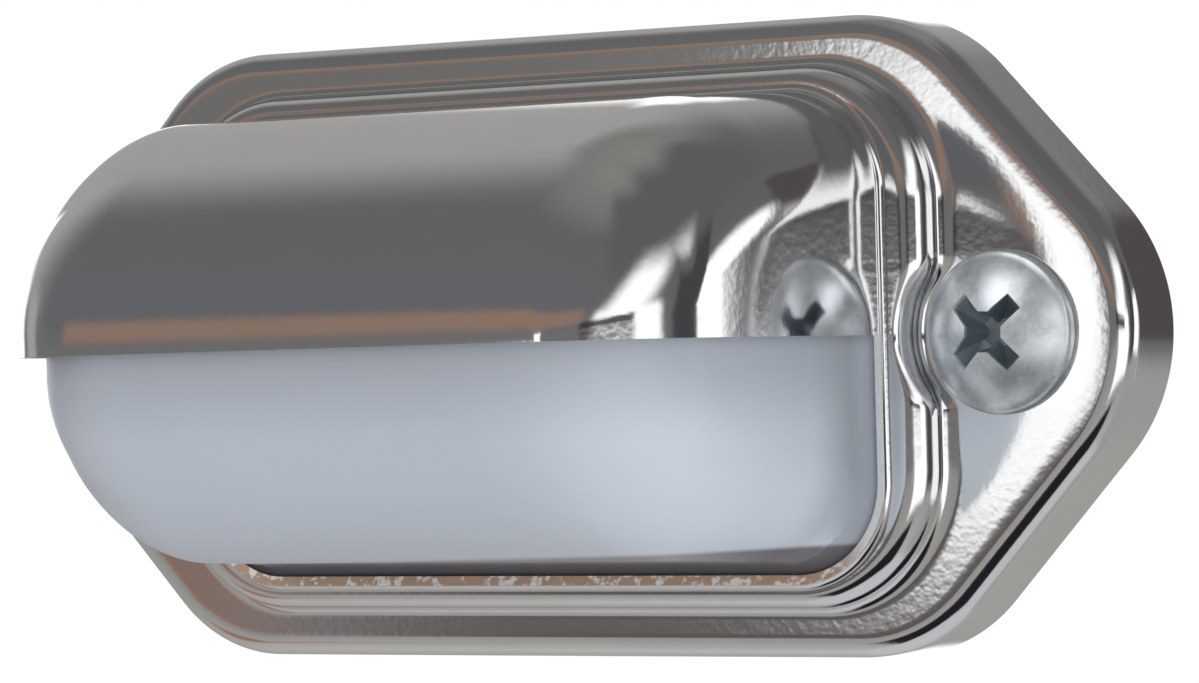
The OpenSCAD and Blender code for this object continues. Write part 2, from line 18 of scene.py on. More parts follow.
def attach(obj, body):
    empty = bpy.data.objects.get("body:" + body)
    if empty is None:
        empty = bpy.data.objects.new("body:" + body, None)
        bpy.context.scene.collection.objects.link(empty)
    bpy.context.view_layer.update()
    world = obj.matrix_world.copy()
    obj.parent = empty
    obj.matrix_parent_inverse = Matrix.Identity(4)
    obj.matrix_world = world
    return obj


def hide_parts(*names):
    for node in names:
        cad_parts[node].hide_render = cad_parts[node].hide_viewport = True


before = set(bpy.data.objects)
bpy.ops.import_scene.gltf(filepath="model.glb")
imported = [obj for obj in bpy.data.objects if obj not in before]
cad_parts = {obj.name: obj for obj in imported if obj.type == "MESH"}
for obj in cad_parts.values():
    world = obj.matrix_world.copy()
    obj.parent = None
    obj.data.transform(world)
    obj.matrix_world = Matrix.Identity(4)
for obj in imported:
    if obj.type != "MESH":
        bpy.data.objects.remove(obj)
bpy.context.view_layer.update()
MM = 0.001
IMAGE_W = 1199
ROUND_SIDES = 96
CIRCLE = [2 * math.pi * k / ROUND_SIDES for k in range(ROUND_SIDES)]
LOG = logging.getLogger("lamp")

Point = tuple[float, float]
Colour = tuple[float, float, float]


class Side(Enum):
    """An end of the lamp."""

    LEFT = -1
    RIGHT = 1


class RingEnd(Enum):
    """How the first ring of a skin ends."""

    OPEN = "open"
    FLAT = "flat"


def linear(*channels: float) -> Colour:
    """Linear light of a red, a green and a blue on the usual scale of 0 to 255."""
    shares = (c / 255 for c in channels)
    return tuple(c / 12.92 if c <= 0.04045 else ((c + 0.055) / 1.055) ** 2.4 for c in shares)


def scaled(colour: Colour, factor: float) -> Colour:
    """A colour with each channel times a factor."""
    return tuple(factor * c for c in colour)


# Shader sums


class Value:
    """A socket that can stand in a sum."""

    def __init__(self, graph: "Graph", socket: Optional[bpy.types.NodeSocket]) -> None:
        """Wraps a socket of a graph, or nothing behind a node that ends it."""
        self.graph = graph
        self.socket = socket

    def join(self, operation: str, left: object, right: object) -> "Value":
        """Adds a Math node for an operation on two operands."""
        return self.graph.node("ShaderNodeMath", {"operation": operation}, {0: left, 1: right})

    def __add__(self, other: object) -> "Value":
        """Sum."""
        return self.join("ADD", self, other)

    __radd__ = __add__

    def __sub__(self, other: object) -> "Value":
        """Difference."""
        return self.join("SUBTRACT", self, other)

    def __rsub__(self, other: object) -> "Value":
        """Difference, reflected."""
        return self.join("SUBTRACT", other, self)

    def __mul__(self, other: object) -> "Value":
        """Product."""
        return self.join("MULTIPLY", self, other)

    __rmul__ = __mul__

    def __truediv__(self, other: object) -> "Value":
        """Quotient."""
        return self.join("DIVIDE", self, other)

    def __neg__(self) -> "Value":
        """Negative."""
        return self.join("SUBTRACT", 0.0, self)

    def __abs__(self) -> "Value":
        """Size without sign."""
        return self.join("ABSOLUTE", self, 0.0)

    def above(self, low: float, high: float) -> "Value":
        """A soft step from 0 at low to 1 at high; low may be the larger of the two.

        Args:
            low: where the step begins.
            high: where the step ends.

        Returns:
            The share from 0 to 1.
        """
        turn = low > high
        share = self.graph.node("ShaderNodeMapRange", {"interpolation_type": "SMOOTHSTEP"},
                                {"Value": self, "From Min": min(low, high), "From Max": max(low, high)})
        return 1.0 - share if turn else share

    def over(self, span: Point) -> "Value":
        """A soft step from 0 at the first end of a span to 1 at its other end, in millimetres."""
        return self.above(span[0] * MM, span[1] * MM)


class Graph:
    """The nodes of one finish."""

    def __init__(self, tree: bpy.types.NodeTree) -> None:
        """Starts with an empty tree."""
        self.tree = tree
        tree.nodes.clear()

    def node(self, kind: str, settings: Optional[Mapping[str, object]] = None,
             sockets: Optional[Mapping[object, object]] = None, out: object = 0) -> Value:
        """Adds any node.

        Args:
            kind: the node's type.
            settings: its properties; "stops" holds a ramp's places and colours.
            sockets: values or links for its inputs.
            out: which output is wanted.

        Returns:
            That output.
        """
        made = self.tree.nodes.new(kind)
        for name, value in (settings or {}).items():
            if name == "stops":
                ramp = made.color_ramp
                while len(ramp.elements) > 1:
                    ramp.elements.remove(ramp.elements[0])
                for k, (place, colour) in enumerate(value):
                    stop = ramp.elements[0] if k == 0 else ramp.elements.new(place)
                    stop.position = place
                    stop.color = (*colour, 1.0)
            else:
                setattr(made, name, value)
        for name, value in (sockets or {}).items():
            if isinstance(value, Value):
                self.tree.links.new(value.socket, made.inputs[name])
            elif isinstance(value, tuple) and len(value) == 3 and len(made.inputs[name].default_value) == 4:
                made.inputs[name].default_value = (*value, 1.0)
            else:
                made.inputs[name].default_value = value
        return Value(self, made.outputs[out] if len(made.outputs) else None)

    def blend(self, share: object, first: object, second: object) -> Value:
        """Mixes two colours; the share is that of the second."""
        return self.node("ShaderNodeMix", {"data_type": "RGBA"}, {0: share, 6: first, 7: second}, out=2)

    def place(self) -> Value:
        """The point on the piece, in metres."""
        return self.node("ShaderNodeTexCoord", out="Object")

    def split(self, vector: Value) -> tuple[Value, Value, Value]:
        """The parts of a vector.

        Args:
            vector: the vector.

        Returns:
            Its X, Y and Z.
        """
        parts = self.tree.nodes.new("ShaderNodeSeparateXYZ")
        self.tree.links.new(vector.socket, parts.inputs[0])
        return Value(self, parts.outputs[0]), Value(self, parts.outputs[1]), Value(self, parts.outputs[2])

    def axes(self) -> tuple[Value, Value, Value]:
        """The point's X, Y and Z on the piece, in metres."""
        return self.split(self.place())

    def noise(self, size: float, detail: float = 2.0, stretch: Colour = (1.0, 1.0, 1.0)) -> Value:
        """Noise of about 0 to 1: its largest spots in millimetres, its finer layers, its stretch."""
        point = self.node("ShaderNodeMapping", {}, {"Vector": self.place(),
                          "Scale": tuple(1.0 / (size * MM * s) for s in stretch)})
        return self.node("ShaderNodeTexNoise", {}, {"Vector": point, "Scale": 1.0, "Detail": detail})

    def bump(self, height: Value, depth: float, below: Optional[Value] = None) -> Value:
        """Turns a height into a normal.

        Args:
            height: the height, about 0 to 1.
            depth: what 1 stands for, in millimetres.
            below: a normal to start from.

        Returns:
            The normal.
        """
        sockets = {"Strength": 1.0, "Distance": depth * MM, "Height": height}
        if below is not None:
            sockets["Normal"] = below
        return self.node("ShaderNodeBump", {}, sockets)

    def surface(self, **sockets: object) -> None:
        """Ends the tree in one surface shader.

        Args:
            **sockets: the shader's inputs, with underscores for spaces.
        """
        named = {name.replace("_", " "): value for name, value in sockets.items()}
        shader = self.node("ShaderNodeBsdfPrincipled", {}, named)
        self.node("ShaderNodeOutputMaterial", {}, {"Surface": shader})


# Finishes


@dataclass(frozen=True)
class Finish:
    """A finish with a name; each kind paints its own nodes."""

    name: str

    def paint(self, graph: Graph) -> None:
        """Builds the nodes."""
        raise NotImplementedError

    def material(self) -> bpy.types.Material:
        """The finish's material, made once.

        Returns:
            The material.
        """
        known = bpy.data.materials.get(self.name)
        if known is not None:
            return known
        made = bpy.data.materials.new(self.name)
        made.use_nodes = True
        self.paint(Graph(made.node_tree))
        return made


@dataclass(frozen=True)
class ChromePlate(Finish):
    """Bright plate on pressed steel, with the orange peel of the sheet below it."""

    colour: Colour = (0.84, 0.84, 0.85)
    roughness: float = 0.06
    peel: float = 0.0031
    grain: float = 0.0003

    def paint(self, graph: Graph) -> None:
        """Two sizes of ripple, faint haze and fine specks.

        Args:
            graph: the finish's nodes.
        """
        peel = graph.noise(0.5, 1.0)
        grain = graph.noise(0.16, 1.0)
        haze = graph.noise(7.0, 3.0)
        normal = graph.bump(peel, self.peel, graph.bump(grain, self.grain))
        graph.surface(Base_Color=graph.blend(haze, self.colour, scaled(self.colour, 0.95)),
                      Metallic=1.0, Roughness=self.roughness + 0.05 * haze, Normal=normal)


@dataclass(frozen=True)
class CutEdge(Finish):
    """The plated cut edge of the sheet, where the shear left fine ridges.

    Its brown is a painted reflection, with painted glints, and it turns to a painted white highlight towards
    the right end.
    """

    # Colours of the painted reflection, the painted glints and the painted white highlight, and where that
    # highlight begins, in millimetres.
    painted_brown_reflection: Colour = (0.6, 0.42, 0.3)
    painted_glint: Colour = (1.0, 0.97, 0.93)
    white: Colour = (0.98, 0.98, 0.98)
    painted_highlight_x: Point = (21.0, 24.0)

    def paint(self, graph: Graph) -> None:
        """Ridges across the edge and painted glints on them.

        Args:
            graph: the finish's nodes.
        """
        ridges = graph.noise(0.5, 2.0)
        spots = graph.noise(0.55, 2.0)
        x, _, _ = graph.axes()
        # Painted glints over the painted brown reflection, then a painted white highlight towards the right
        # end.
        colour = graph.blend(spots.above(0.52, 0.64), self.painted_brown_reflection, self.painted_glint)
        colour = graph.blend(x.over(self.painted_highlight_x), colour, self.white)
        graph.surface(Base_Color=colour, Metallic=0.15, Roughness=0.25 + 0.2 * spots,
                      Normal=graph.bump(ridges, 0.1))


@dataclass(frozen=True)
class MilkyPlastic(Finish):
    """Milky white moulding with faint flow lines.

    Its colour has painted light towards the right, and painted shade below the hood, at the foot of its right
    end and underneath.
    """

    colour: Colour = (0.65, 0.71, 0.81)
    # The colour of the painted shade underneath, then the spans of the painted light and the painted shade,
    # in millimetres.
    painted_under_shade_colour: Colour = (0.2, 0.2, 0.225)
    painted_light_x: Point = (8.0, 24.0)
    painted_hood_shade_z: Point = (-6.0, -0.5)
    painted_end_shade_x: Point = (20.0, 23.5)
    painted_end_shade_y: Point = (-14.5, -8.5)
    painted_under_shade_z: Point = (-12.4, -12.75)
    painted_under_shade_slope: float = 0.02

    def paint(self, graph: Graph) -> None:
        """Long faint streaks, a satin skin and the zones of painted light and painted shade.

        Args:
            graph: the finish's nodes.
        """
        streaks = graph.noise(1.1, 3.0, (14.0, 3.0, 1.0))
        cloud = graph.noise(14.0, 2.0)
        skin = graph.noise(0.35, 2.0)
        tone = graph.blend(0.5 * streaks + 0.5 * cloud, self.colour, scaled(self.colour, 0.93))
        x, y, z = graph.axes()
        # Painted light towards the right, painted shade below the hood, painted shade at the foot of the
        # right end and a dark painted shade underneath.
        tone = graph.blend(x.over(self.painted_light_x), tone, scaled(self.colour, 1.2))
        tone = graph.blend(0.6 * z.over(self.painted_hood_shade_z), tone, scaled(self.colour, 0.6))
        tone = graph.blend(y.over(self.painted_end_shade_y) * x.over(self.painted_end_shade_x), tone, scaled(self.colour, 0.7))
        tone = graph.blend((z - self.painted_under_shade_slope * x).over(self.painted_under_shade_z), tone, self.painted_under_shade_colour)
        graph.surface(Base_Color=tone, Roughness=0.3 + 0.12 * skin, Normal=graph.bump(skin, 0.003),
                      Subsurface_Weight=0.35, Subsurface_Radius=(1.0, 1.0, 1.0), Subsurface_Scale=0.0012,
                      Specular_IOR_Level=0.45)


@dataclass(frozen=True)
class ZincPlate(Finish):
    """Zinc plate with fine mottling, brighter where it is rubbed, with painted shade inside the cross recess.

    The painted shade of the recess is found by its depth below the crown, and it ends at a squared distance
    off the axis.
    """

    colour: Colour = (0.74, 0.79, 0.83)
    rubbed: Colour = (0.88, 0.9, 0.92)
    # The colour of the painted shade in the cross recess, then where that shade lies.
    recess: Colour = (0.16, 0.21, 0.24)
    head_x: float = 31.5
    crown_y: float = -8.0
    crown_r: float = 6.59
    painted_recess_shade_depth: Point = (0.05, 0.35)
    painted_recess_shade_end: Point = (11.0, 10.0)

    def paint(self, graph: Graph) -> None:
        """Crystal specks, blotches, tiny pits and the painted shade in the recess.

        Args:
            graph: the finish's nodes.
        """
        specks = graph.noise(0.22, 3.0)
        blotch = graph.noise(1.6, 3.0)
        tone = graph.blend(blotch.above(0.35, 0.7), self.colour, scaled(self.colour, 0.72))
        tone = graph.blend(0.35 * specks.above(0.45, 0.7), tone, self.rubbed)
        x, y, z = graph.axes()
        # Painted shade inside the cross recess, found by its depth below the crown.
        aside = abs(x) - self.head_x * MM
        off_axis = aside * aside + z * z
        depth = y - self.crown_y * MM - off_axis / (2 * self.crown_r * MM)
        near = off_axis.above(*(area * MM * MM for area in self.painted_recess_shade_end))
        tone = graph.blend(0.85 * (depth.over(self.painted_recess_shade_depth) * near), tone, self.recess)
        graph.surface(Base_Color=tone, Metallic=0.72, Roughness=0.27 + 0.12 * specks,
                      Normal=graph.bump(specks, 0.003, graph.bump(blotch, 0.012)))


@dataclass(frozen=True)
class MouldedPlastic(Finish):
    """Opaque moulded or punched plastic with a fine matt grain."""

    colour: Colour = (0.8, 0.78, 0.72)
    roughness: float = 0.5

    def paint(self, graph: Graph) -> None:
        """Grain and a faint change of tone.

        Args:
            graph: the finish's nodes.
        """
        grain = graph.noise(0.3, 3.0)
        cloud = graph.noise(9.0, 2.0)
        tone = graph.blend(cloud, self.colour, scaled(self.colour, 0.9))
        graph.surface(Base_Color=tone, Roughness=self.roughness + 0.15 * grain,
                      Normal=graph.bump(grain, 0.01))


@dataclass(frozen=True)
class Foam(Finish):
    """Closed-cell foam rubber."""

    colour: Colour = (0.03, 0.03, 0.032)
    cells_per_m: float = 1900.0

    def paint(self, graph: Graph) -> None:
        """Open pores where the sheet was slit.

        Args:
            graph: the finish's nodes.
        """
        cells = graph.node("ShaderNodeTexVoronoi", {}, {"Vector": graph.place(), "Scale": self.cells_per_m})
        dust = graph.noise(5.0, 3.0)
        tone = graph.blend(dust, self.colour, scaled(self.colour, 1.9))
        graph.surface(Base_Color=tone, Roughness=0.85 + 0.1 * dust, Normal=graph.bump(cells, 0.12))


@dataclass(frozen=True)
class Rubber(Finish):
    """Moulded rubber."""

    colour: Colour = (0.025, 0.025, 0.027)
    roughness: float = 0.6

    def paint(self, graph: Graph) -> None:
        """Fine grain with a grey bloom.

        Args:
            graph: the finish's nodes.
        """
        grain = graph.noise(0.25, 3.0)
        bloom = graph.noise(3.0, 3.0)
        tone = graph.blend(bloom.above(0.4, 0.8), self.colour, scaled(self.colour, 2.0))
        graph.surface(Base_Color=tone, Roughness=self.roughness + 0.15 * bloom,
                      Normal=graph.bump(grain, 0.008))


@dataclass(frozen=True)
class ClearGlass(Finish):
    """Clear blown glass."""

    def paint(self, graph: Graph) -> None:
        """A slightly wavy skin.

        Args:
            graph: the finish's nodes.
        """
        waves = graph.noise(2.5, 1.0)
        graph.surface(Base_Color=(0.96, 0.98, 0.98), Roughness=0.02, IOR=1.5, Transmission_Weight=1.0,
                      Normal=graph.bump(waves, 0.004))


@dataclass(frozen=True)
class PlainMetal(Finish):
    """Rolled or drawn metal with fine lines."""

    colour: Colour = (0.7, 0.7, 0.7)
    roughness: float = 0.3
    lines: Colour = (8.0, 1.0, 1.0)

    def paint(self, graph: Graph) -> None:
        """Rolling lines and faint tarnish.

        Args:
            graph: the finish's nodes.
        """
        lines = graph.noise(0.25, 3.0, self.lines)
        tarnish = graph.noise(2.0, 3.0)
        tone = graph.blend(tarnish.above(0.35, 0.75), self.colour, scaled(self.colour, 0.75))
        graph.surface(Base_Color=tone, Metallic=1.0, Roughness=self.roughness + 0.15 * tarnish,
                      Normal=graph.bump(lines, 0.004))


CHROME = ChromePlate("chrome_plate")
CUT_EDGE = CutEdge("cut_edge")
MILKY = MilkyPlastic("milky_plastic")
ZINC = ZincPlate("zinc_plate")
CARRIED: dict[Finish, tuple[str, ...]] = {
    Rubber("seal_rubber", (0.05, 0.05, 0.055), 0.65): ("lens_seal",),
    MouldedPlastic("base_plastic"): ("base_plate",),
    Foam("foam_rubber"): ("base_gasket",),
    Rubber("grommet_rubber", (0.02, 0.02, 0.022), 0.5): ("wire_grommet",),
    MouldedPlastic("retainer_plastic", (0.82, 0.82, 0.8), 0.4):
        ("screw_retainer_left", "screw_retainer_right"),
    ClearGlass("bulb_glass"): ("bulb_glass",),
    PlainMetal("tungsten_wire", (0.32, 0.32, 0.34), 0.4): ("bulb_filament",),
    PlainMetal("cap_nickel", (0.72, 0.7, 0.66), 0.22, (1.0, 6.0, 6.0)): ("bulb_cap_left", "bulb_cap_right"),
    PlainMetal("spring_brass", (0.8, 0.62, 0.33), 0.25): ("contact_left", "contact_right"),
    PlainMetal("tinned_brass", (0.74, 0.71, 0.64), 0.3): ("terminal_live", "terminal_earth"),
    PlainMetal("rivet_copper", (0.78, 0.5, 0.36), 0.25): ("rivet_left", "rivet_right"),
}


# Modelling


def steps(first: float, last: float, count: int) -> list[float]:
    """Evenly spaced numbers, both ends included."""
    return [first + (last - first) * k / count for k in range(count + 1)]


def between(first: Sequence[Vector], last: Sequence[Vector], count: int) -> list[list[Vector]]:
    """Rings between two rings, both left out."""
    return [[p.lerp(q, k / count) for p, q in zip(first, last)] for k in range(1, count)]


def arc(x: float, z: float, radius: float, first: float, last: float, count: int) -> list[Point]:
    """Points of an arc round x, z between two angles in radians, both ends included."""
    return [(x + radius * math.cos(t), z + radius * math.sin(t)) for t in steps(first, last, count)]


def rounding(turns: Sequence[float]) -> list[Point]:
    """The pairs 1 - sin and 1 - cos at the turns of a rounded edge, in radians."""
    return [(1 - math.sin(t), 1 - math.cos(t)) for t in turns]


def toward(azimuth: float, elevation: float) -> Vector:
    """The direction at an azimuth from the lamp's front and an elevation, in radians."""
    return Vector((math.sin(azimuth) * math.cos(elevation), -math.cos(azimuth) * math.cos(elevation),
                   math.sin(elevation)))


class Bench:
    """Modelling steps that several pieces share."""

    @staticmethod
    def clear() -> None:
        """Leaves edit mode and deselects everything."""
        if bpy.context.object is not None and bpy.context.object.mode != "OBJECT":
            bpy.ops.object.mode_set(mode="OBJECT")
        bpy.ops.object.select_all(action="DESELECT")

    @staticmethod
    def only(piece: bpy.types.Object) -> None:
        """Selects one piece alone.

        Args:
            piece: the piece.
        """
        Bench.clear()
        piece.select_set(True)
        bpy.context.view_layer.objects.active = piece

    @staticmethod
    def loft(name: str, rings: Sequence[Sequence[Vector]], half_from: Optional[int] = None,
             start: RingEnd = RingEnd.OPEN) -> bpy.types.Object:
        """Builds a skin from a circle that is extruded from ring to ring and closed at the last ring.

        Args:
            name: the piece's name.
            rings: the rings' points in metres, as many in each ring.
            half_from: the ring from which only the first half is extruded.
            start: how the first ring ends.

        Returns:
            The piece.
        """
        Bench.clear()
        count = len(rings[0])
        bpy.ops.mesh.primitive_circle_add(vertices=count, radius=rings[0][0].length)
        piece = bpy.context.object
        piece.name = piece.data.name = name
        bpy.ops.object.mode_set(mode="EDIT")
        bpy.ops.mesh.select_mode(type="VERT")
        mesh = bmesh.from_edit_mesh(piece.data)
        mesh.verts.layers.int.new("place")
        mesh.verts.layers.int.new("ring")
        place = mesh.verts.layers.int["place"]
        for k, vert in enumerate(mesh.verts):
            vert[place] = k
            vert.co = rings[0][k]
        for n, ring in enumerate(rings[1:], 1):
            if n - 1 == half_from:
                mesh = bmesh.from_edit_mesh(piece.data)
                for vert in mesh.verts:
                    vert.select = vert.select and vert[place] <= count // 2
                mesh.select_flush(False)
                mesh.select_flush(True)
            bpy.ops.mesh.extrude_region()
            mesh = bmesh.from_edit_mesh(piece.data)
            place, number = mesh.verts.layers.int["place"], mesh.verts.layers.int["ring"]
            for vert in mesh.verts:
                if vert.select:
                    vert.co = ring[vert[place]]
                    vert[number] = n
        bpy.ops.mesh.edge_face_add()
        if start is RingEnd.FLAT:
            bpy.ops.mesh.select_all(action="DESELECT")
            mesh = bmesh.from_edit_mesh(piece.data)
            number = mesh.verts.layers.int["ring"]
            for vert in mesh.verts:
                vert.select = vert[number] == 0
            mesh.select_flush(True)
            bpy.ops.mesh.edge_face_add()
        bpy.ops.mesh.select_all(action="SELECT")
        bpy.ops.mesh.normals_make_consistent(inside=False)
        bpy.ops.object.mode_set(mode="OBJECT")
        return piece

    @staticmethod
    def outward(piece: bpy.types.Object, probe: Vector) -> None:
        """Turns an open skin so that the face nearest a probe outside it looks at the probe.

        Args:
            piece: the skin.
            probe: a point outside it, in metres.
        """
        near = min(piece.data.polygons, key=lambda p: (p.center - probe).length)
        if near.normal.dot(probe - near.center) < 0:
            Bench.only(piece)
            bpy.ops.object.mode_set(mode="EDIT")
            bpy.ops.mesh.select_all(action="SELECT")
            bpy.ops.mesh.flip_normals()
            bpy.ops.object.mode_set(mode="OBJECT")

    @staticmethod
    def modify(piece: bpy.types.Object, kind: str, **settings: object) -> None:
        """Adds a modifier and applies it.

        Args:
            piece: the piece.
            kind: the modifier's type.
            **settings: its properties.
        """
        Bench.only(piece)
        made = piece.modifiers.new(kind.lower(), kind)
        for name, value in settings.items():
            setattr(made, name, value)
        bpy.ops.object.modifier_apply(modifier=made.name)

    @staticmethod
    def cut(piece: bpy.types.Object, cutter: bpy.types.Object) -> None:
        """Cuts a piece with another, which is then thrown away."""
        Bench.modify(piece, "BOOLEAN", operation="DIFFERENCE", solver="EXACT", object=cutter)
        bpy.data.objects.remove(cutter, do_unlink=True)

    @staticmethod
    def bar(x: float, z: float, radius: float, near: float, far: float) -> bpy.types.Object:
        """A round bar along Y, used as a cutter. Sizes are in millimetres.

        Args:
            x: its axis along X.
            z: its height.
            radius: its radius.
            near: its first end along Y.
            far: its other end.

        Returns:
            The bar.
        """
        Bench.clear()
        bpy.ops.mesh.primitive_cylinder_add(vertices=ROUND_SIDES, radius=radius * MM,
                                            depth=abs(far - near) * MM, rotation=(math.pi / 2, 0, 0),
                                            location=(x * MM, (near + far) / 2 * MM, z * MM))
        made = bpy.context.object
        bpy.ops.object.transform_apply(location=True, rotation=True, scale=True)
        return made

    @staticmethod
    def smooth(piece: bpy.types.Object, angle: float = 35.0) -> None:
        """Smooth shading up to an angle in degrees."""
        Bench.only(piece)
        bpy.ops.object.shade_smooth_by_angle(angle=math.radians(angle))

    @staticmethod
    def dress(piece: bpy.types.Object, *finishes: Finish) -> None:
        """Gives a piece its finishes, in the order of its material slots.

        Args:
            piece: the piece.
            *finishes: the finishes.
        """
        slots = piece.data.materials
        for k, finish in enumerate(finishes):
            if k < len(slots):
                slots[k] = finish.material()
            else:
                slots.append(finish.material())


@dataclass(frozen=True)
class LampForm:
    """Sizes of the lamp's pressed form, in millimetres.

    They follow the frame, but for the slight bow of the hood's ends, the hollow at the step's ends, the lip
    of the opening and the soft corners round the screws.
    """

    flange_l: float = 79.5
    flange_h: float = 38.0
    flange_angle: float = 47.0
    tip_r: float = 10.7
    corner_r: float = 10.1
    skirt_d: float = 5.5
    bend_r: float = 1.3
    sheet_t: float = 0.6
    step_l: float = 55.0
    step_h: float = 32.0
    step_corner_r: float = 8.4
    step_rise: float = 2.2
    step_foot_r: float = 0.5
    step_foot_end: float = 1.3
    step_round_end: float = 1.6
    step_round_w: float = 0.95
    step_round_seat: float = 0.65
    step_round_h: float = 1.496
    hood_l: float = 49.7
    hood_h: float = 29.0
    hood_corner_r: float = 6.1
    nose_corner_r: float = 9.8
    hood_reach: float = 23.99
    hood_roof: float = 9.9
    hood_end_r: float = 7.0
    hood_draft: float = 0.05
    hood_lean: float = 0.035
    hood_bow: float = 1.1
    bow_span: float = 16.0
    hood_foot_r: float = 0.4
    opening_margin: float = 0.008
    screw_x: float = 31.5
    seat_r: float = 5.45
    seat_round: float = 0.7
    corner_share: float = 0.85
    side_steps: int = 32
    arc_steps: int = 40
    top_steps: int = 16
    nose_turns: int = 44
    last_turn: float = 89.0

    @property
    def step_y(self) -> float:
        """Distance of the step's face from the panel."""
        return self.skirt_d + self.step_rise

    def whole(self, quarter: Sequence[Point]) -> list[Point]:
        """Closes an outline from its quarter between the right end's and the top's middle."""
        q = list(quarter)
        return (q + [(-x, z) for x, z in q[-2::-1]] + [(-x, -z) for x, z in q[1:]]
                + [(x, -z) for x, z in q[-2:0:-1]])

    def rounded(self, a: float, b: float, r: float) -> list[Point]:
        """A rounded rectangle.

        Args:
            a: half its length.
            b: half its height.
            r: its corner radius.

        Returns:
            The outline.
        """
        side = [(a, (b - r) * k / self.side_steps) for k in range(self.side_steps)]
        corner = arc(a - r, b - r, r, 0, math.pi / 2, self.arc_steps)
        top = [((a - r) * (1 - k / self.top_steps), b) for k in range(1, self.top_steps + 1)]
        return self.whole(side + corner + top)

    def flange(self, inset: float) -> list[Point]:
        """The six-sided flange, drawn in by an inset.

        Args:
            inset: the inset.

        Returns:
            The outline.
        """
        phi = math.radians(self.flange_angle)
        turn = math.pi / 2 - phi
        a = self.flange_l / 2 - self.tip_r
        rt, rc = self.tip_r - inset, self.corner_r - inset
        h = self.flange_h / 2 - inset
        cx = a + rt / math.sin(phi) - h / math.tan(phi) - rc * math.tan(phi / 2)
        tips, slants = 24, 18
        corners = self.side_steps + self.arc_steps - tips - slants
        tip = arc(a, 0, rt, 0, turn, tips)
        corner = arc(cx, h - rc, rc, turn, math.pi / 2, corners)
        (x0, z0), (x1, z1) = tip[-1], corner[0]
        slant = [(x0 + (x1 - x0) * k / slants, z0 + (z1 - z0) * k / slants) for k in range(1, slants)]
        top = [(cx * (1 - k / self.top_steps), h) for k in range(1, self.top_steps + 1)]
        return self.whole(tip + slant + corner + top)

    def step(self, ends: float, sides: float, seat: float) -> list[Point]:
        """The step's outline, with a hollow in each end round the screw's head.

        Args:
            ends: how far its ends are drawn out.
            sides: how far its top and bottom are drawn out.
            seat: how far the hollows are drawn in.

        Returns:
            The outline.
        """
        r = self.seat_r - seat
        out = []
        corner = self.step_corner_r + (ends + sides) / 2
        for x, z in self.rounded(self.step_l / 2 + ends, self.step_h / 2 + sides, corner):
            away = abs(z)
            limit = self.screw_x - math.sqrt(max(0.0, r * r - away * away))
            near = max(0.0, self.seat_round - abs(abs(x) - limit)) / self.seat_round
            least = min(abs(x), limit) - near * near * self.seat_round / 4
            out.append((math.copysign(least, x) if away < r + self.seat_round else x, z))
        return out

    def foot(self, grow: float) -> list[Point]:
        """The hood's outline at its foot, drawn out by a distance."""
        return self.rounded(self.hood_l / 2 + grow, self.hood_h / 2 + grow, self.hood_corner_r + grow)

    def half_l(self, reach: float) -> float:
        """Half the hood's length at a reach beyond the step. Its end walls are slightly bowed."""
        u = max(0.0, 1 - (self.hood_reach - reach) / self.hood_end_r)
        return (self.hood_l / 2 + self.hood_lean * reach - self.hood_bow * (reach / self.bow_span) ** 2
                - self.hood_end_r * (1 - math.sqrt(max(0.0, 1 - u * u))))

    def corner(self, reach: float) -> float:
        """Corner radius of the hood, seen from the front, at a reach beyond the step."""
        return self.hood_corner_r + (self.nose_corner_r - self.hood_corner_r) * reach / self.hood_reach

    def wall(self, reach: float, inset: float) -> tuple[list[Point], float]:
        """A ring of the hood's walls at a reach beyond the step, and its place from the panel."""
        outline = self.rounded(self.half_l(reach) - inset, self.hood_h / 2 - self.hood_draft * reach - inset,
                               self.corner(reach) - inset / 2)
        return outline, self.step_y + reach

    def nose(self, turn: float, inset: float) -> tuple[list[Point], float]:
        """A ring of the hood's form.

        Args:
            turn: angle of the roof's turn to the front, in radians.
            inset: how far the ring lies inside the outer face.

        Returns:
            The outline and its distance from the panel.
        """
        length = self.hood_reach - self.hood_roof
        reach = self.hood_roof + length * math.sin(turn)
        a = self.half_l(reach) - inset
        b = (self.hood_h / 2 - self.hood_draft * self.hood_roof - inset) * math.cos(turn)
        r = min(self.corner(reach) - inset / 2, self.corner_share * b)
        return self.rounded(a, b, r), self.step_y + self.hood_roof + (length - inset) * math.sin(turn)

    def turns(self) -> list[float]:
        """Angles of the rings from the roof's end to the front, in radians."""
        return steps(0, math.radians(self.last_turn), self.nose_turns)

    def ring(self, outline: Sequence[Point], out: float) -> list[Vector]:
        """Sets an outline at a distance out from the panel, in metres."""
        return [Vector((x * MM, -out * MM, z * MM)) for x, z in outline]


